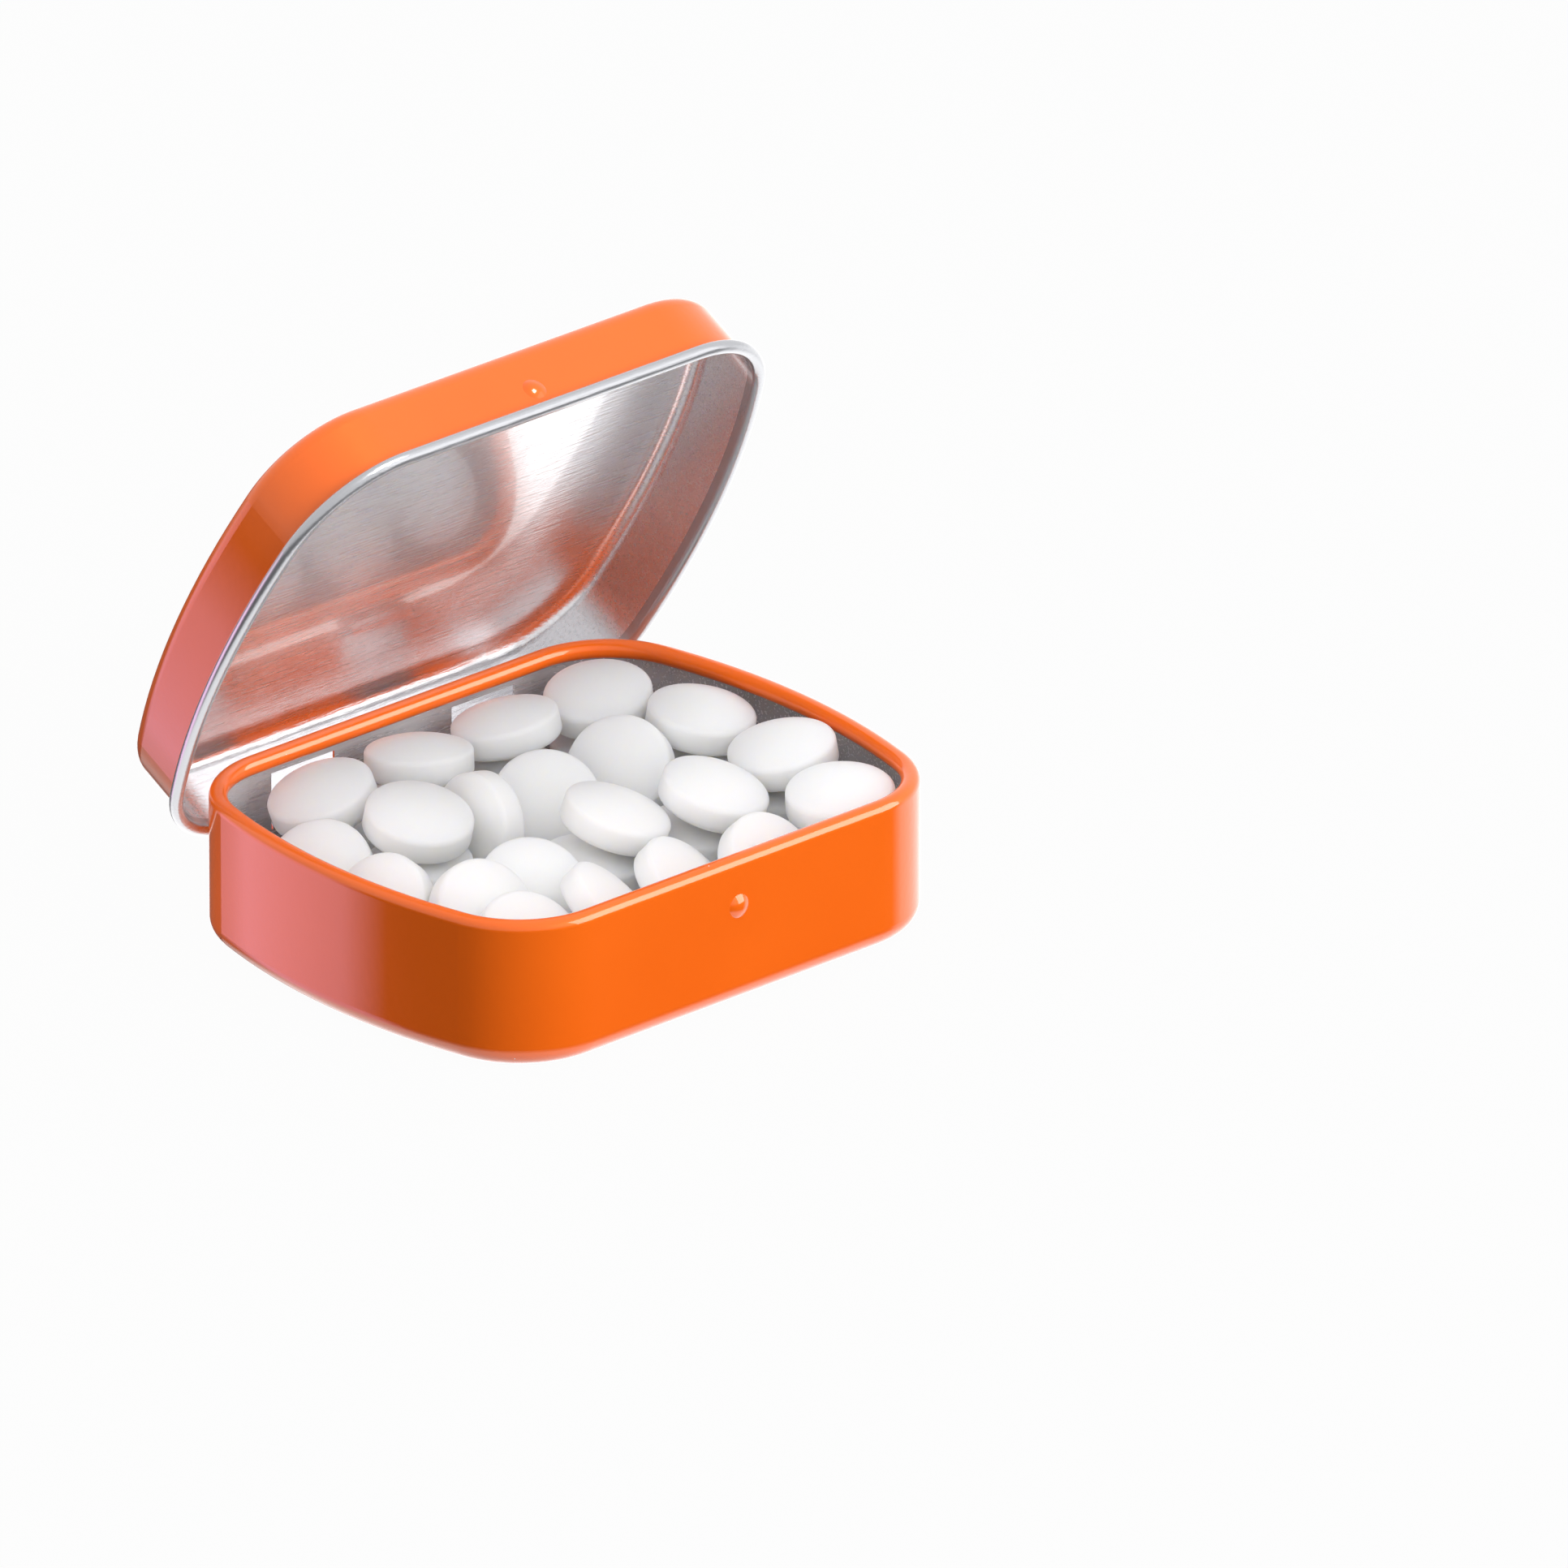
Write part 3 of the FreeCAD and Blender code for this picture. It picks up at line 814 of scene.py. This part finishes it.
    def build(self, finish: ScreenInk) -> None:
        """Prints both inks on the open lid.

        Args:
            finish: The inks' finish.
        """
        joint = frame["joints"][0]
        pivot = Vector(joint["pos_m"])
        swing = Matrix.Rotation(math.radians(joint["range_deg"][0]), 4, "X")
        onto_lid = (Matrix.Translation(pivot) @ swing @ Matrix.Translation(-pivot)
                    @ Matrix.Translation((0, 0, self.lid_top)))
        for ink, patches in self.patches().items():
            bpy.ops.object.select_all(action="DESELECT")
            for patch in patches:
                patch.select_set(True)
            bpy.context.view_layer.objects.active = patches[0]
            bpy.ops.object.join()
            piece = bpy.context.object
            piece.name = "print_" + ink.name.lower()
            piece.data.transform(onto_lid)
            dress(piece, finish.build(ink))
            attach(piece, "lid")


@dataclass
class Heap:
    """The mints lying in the tray."""

    def dress(self, finish: PressedSugar) -> None:
        """Gives every mint the same sugar.

        Args:
            finish: The sugar.
        """
        material = finish.build()
        for name, node in frame["nodes"].items():
            if name.startswith("mint_"):
                dress(node, material)


class Group(Enum):
    """Pieces that a lamp lights or is shaded by, as the starts of their names."""

    TIN = ("base_tray", "lid", "print_", "floor")
    MINTS = ("mint_",)
    TRAY = ("base_tray",)
    LID = ("lid",)
    COVER = ("lid", "print_")
    LOW = ("base_tray", "mint_")


@dataclass(frozen=True)
class SoftBox:
    """A square lamp that is turned on the tin.

    Attributes:
        name: The lamp's name.
        place: Where it hangs, in metres.
        size: Length of its side, in metres.
        watts: Its power.
        lit: The pieces that it lights.
        mirrored: Whether it only shows mirrored, and lights nothing matt.
        past_lid: Whether it shines past the lid as if that were not there.
    """

    name: str
    place: tuple[float, float, float]
    size: float
    watts: float
    lit: Group
    mirrored: bool = False
    past_lid: bool = False


SOFT_BOXES = (
    SoftBox("key", (0.10, -0.90, 0.43), 0.6, 7.0, Group.TIN),
    SoftBox("top", (-0.25, -0.25, 0.85), 0.6, 1.9, Group.TIN),
    SoftBox("mint_fill", (-0.82, -0.54, 0.42), 2.2, 16.4, Group.MINTS, past_lid=True),
    SoftBox("mint_top", (0.0, -0.10, 0.98), 1.8, 2.8, Group.MINTS, past_lid=True),
    SoftBox("mint_back", (-0.45, 0.55, 0.70), 1.6, 5.0, Group.MINTS, past_lid=True),
    SoftBox("lid_bounce", (-0.2, 0.95, 0.26), 0.6, 7.8, Group.TRAY, past_lid=True),
    SoftBox("lid_back", (-0.35, 0.85, 0.45), 0.8, 4.0, Group.COVER),
    SoftBox("tray_gleam", (0.58, -0.74, 0.32), 0.8, 12.0, Group.TRAY, mirrored=True),
    SoftBox("curl_gleam", (0.58, -0.74, 0.32), 0.8, 2.2, Group.LID, mirrored=True),
    SoftBox("lid_spark", (0.18, -0.37, 0.91), 0.32, 8.2, Group.LID, mirrored=True),
)


@dataclass
class Studio:
    """White floor, cards, soft lamps and a long lens, seen as in the photograph.

    Attributes:
        picture: Side of the photograph, in pixels.
        focal_pixels: Focal length, in the photograph's pixels.
        origin_pixel: Where the tin's origin falls in the photograph.
        view_depth: Nearest and farthest distance that the camera sees.
        ring_steps: Steps of the ring of cards, round and from top to bottom.
        soft_way: How far to the right a ray goes where the soft light starts and stops
            to grow.
        soft_light: Level of the soft light there.
    """

    azimuth: float = -42.102
    elevation: float = 24.162
    distance: float = 4.0
    picture: float = 1932.0
    focal_pixels: float = 56281.4
    origin_pixel: tuple[float, float] = (695.84, 1139.49)
    sensor: float = 36.0
    view_depth: tuple[float, float] = (0.1, 20.0)
    floor_size: float = 3.0
    card_ring: float = 2.0
    ring_steps: tuple[int, int] = (96, 48)
    soft_way: tuple[float, float] = (-0.6, 0.4)
    soft_light: tuple[float, float] = (0.18, 0.95)

    def build(self) -> None:
        """Sets up the camera, the floor, the world, the cards and the lamps."""
        self.camera()
        self.floor(WhitePaper())
        self.world()
        self.cards(StudioCards())
        self.lamps()
        bpy.context.scene.view_settings.view_transform = "Standard"

    def axes(self) -> tuple[Vector, Vector, Vector]:
        """Works out the camera's own directions.

        Returns:
            The directions to the right, up and back towards the camera.
        """
        a, e = math.radians(self.azimuth), math.radians(self.elevation)
        back = Vector((math.sin(a) * math.cos(e), -math.cos(a) * math.cos(e), math.sin(e)))
        right = Vector((math.cos(a), math.sin(a), 0))
        return right, back.cross(right), back

    def camera(self) -> None:
        """Places the camera so that the tin's origin falls on its pixel of the photograph."""
        right, up, back = self.axes()
        data = bpy.data.cameras.new("camera")
        data.sensor_width = self.sensor
        data.lens = self.focal_pixels / self.picture * self.sensor
        data.clip_start, data.clip_end = self.view_depth
        scale = self.distance / self.focal_pixels
        middle = self.picture / 2
        across, down = self.origin_pixel
        aim = right * ((middle - across) * scale) - up * ((middle - down) * scale)
        place = Matrix((right, up, back)).transposed().to_4x4()
        place.translation = aim + back * self.distance
        camera = bpy.data.objects.new("camera", data)
        camera.matrix_world = place
        bpy.context.collection.objects.link(camera)
        bpy.context.scene.camera = camera

    def floor(self, finish: WhitePaper) -> None:
        """Lays the floor under the tin; mirrored rays pass through it to the cards.

        Args:
            finish: The floor's paper.
        """
        bpy.ops.object.select_all(action="DESELECT")
        bpy.ops.mesh.primitive_plane_add(size=self.floor_size, location=(0, 0, 0))
        floor = bpy.context.object
        floor.name = "floor"
        floor.visible_glossy = False
        dress(floor, finish.build())
        floor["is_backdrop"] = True

    def world(self) -> None:
        """Surrounds the tin with white, and lights matt surfaces softly from the right."""
        world = bpy.data.worlds.new("studio")
        bpy.context.scene.world = world
        world.use_nodes = True
        tree = world.node_tree
        tree.nodes.clear()
        path = add_node(tree, "ShaderNodeLightPath")
        place = add_node(tree, "ShaderNodeTexCoord")
        split = add_node(tree, "ShaderNodeSeparateXYZ", inputs={0: place.outputs["Generated"]})
        soft = add_node(tree, "ShaderNodeMapRange", inputs={
            "Value": split.outputs["X"],
            "From Min": self.soft_way[0], "From Max": self.soft_way[1],
            "To Min": self.soft_light[0], "To Max": self.soft_light[1]})
        mirrored = add_node(tree, "ShaderNodeMath", {"operation": "MAXIMUM"}, {
            0: path.outputs["Is Glossy Ray"], 1: path.outputs["Is Transmission Ray"]})
        seen = add_node(tree, "ShaderNodeMath", {"operation": "MAXIMUM"},
                        {0: path.outputs["Is Camera Ray"], 1: mirrored.outputs[0]})
        white = add_node(tree, "ShaderNodeMix", {"data_type": "RGBA"},
                         {"Factor": seen.outputs[0], LOW: soft.outputs[0], HIGH: WHITE})
        light = add_node(tree, "ShaderNodeBackground",
                         inputs={"Color": white.outputs[MIXED], "Strength": 1.0})
        add_node(tree, "ShaderNodeOutputWorld", inputs={"Surface": light.outputs[0]})

    def cards(self, finish: StudioCards) -> None:
        """Sets the tin in a ring of cards, which only show mirrored in enamel and metal.

        Args:
            finish: The cards' light.
        """
        steps_round, steps_down = self.ring_steps
        bpy.ops.object.select_all(action="DESELECT")
        bpy.ops.mesh.primitive_uv_sphere_add(
            segments=steps_round, ring_count=steps_down, radius=self.card_ring)
        ring = bpy.context.object
        ring.name = "cards"
        ring.visible_camera = ring.visible_diffuse = ring.visible_shadow = False
        ring.visible_transmission = ring.visible_volume_scatter = False
        dress(ring, finish.build())
        ring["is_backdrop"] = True

    def gather(self, group: Group) -> bpy.types.Collection:
        """Collects the pieces of one group, for the lamps that are turned on them only.

        Args:
            group: The group.

        Returns:
            The collection.
        """
        chosen = bpy.data.collections.new(group.name.lower())
        for piece in bpy.context.scene.objects:
            if piece.name.startswith(group.value):
                chosen.objects.link(piece)
        return chosen

    def lamps(self) -> None:
        """Hangs the soft boxes, three of which only show mirrored."""
        # Some lamps' names start as pieces' names do, so the groups are gathered first.
        groups = {group: self.gather(group) for group in Group}
        for box in SOFT_BOXES:
            data = bpy.data.lights.new(box.name, "AREA")
            data.shape, data.size, data.energy = "SQUARE", box.size, box.watts
            lamp = bpy.data.objects.new(box.name, data)
            lamp.visible_glossy, lamp.visible_diffuse = box.mirrored, not box.mirrored
            lamp.light_linking.receiver_collection = groups[box.lit]
            if box.past_lid:
                lamp.light_linking.blocker_collection = groups[Group.LOW]
            lamp.location = box.place
            lamp.rotation_euler = (-Vector(box.place)).to_track_quat("-Z", "Y").to_euler()
            bpy.context.collection.objects.link(lamp)


def main() -> None:
    """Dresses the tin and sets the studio."""
    logging.basicConfig(level=logging.INFO)
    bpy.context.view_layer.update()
    Tray().dress(LacqueredTinplate(sheet_shine=DUSTED_SHINE))
    Lid().dress(LacqueredTinplate())
    LidPrint().build(ScreenInk())
    Heap().dress(PressedSugar())
    Studio().build()
    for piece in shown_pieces():
        LOG.info("piece %s", piece.name)


if __name__ == "__main__":
    main()
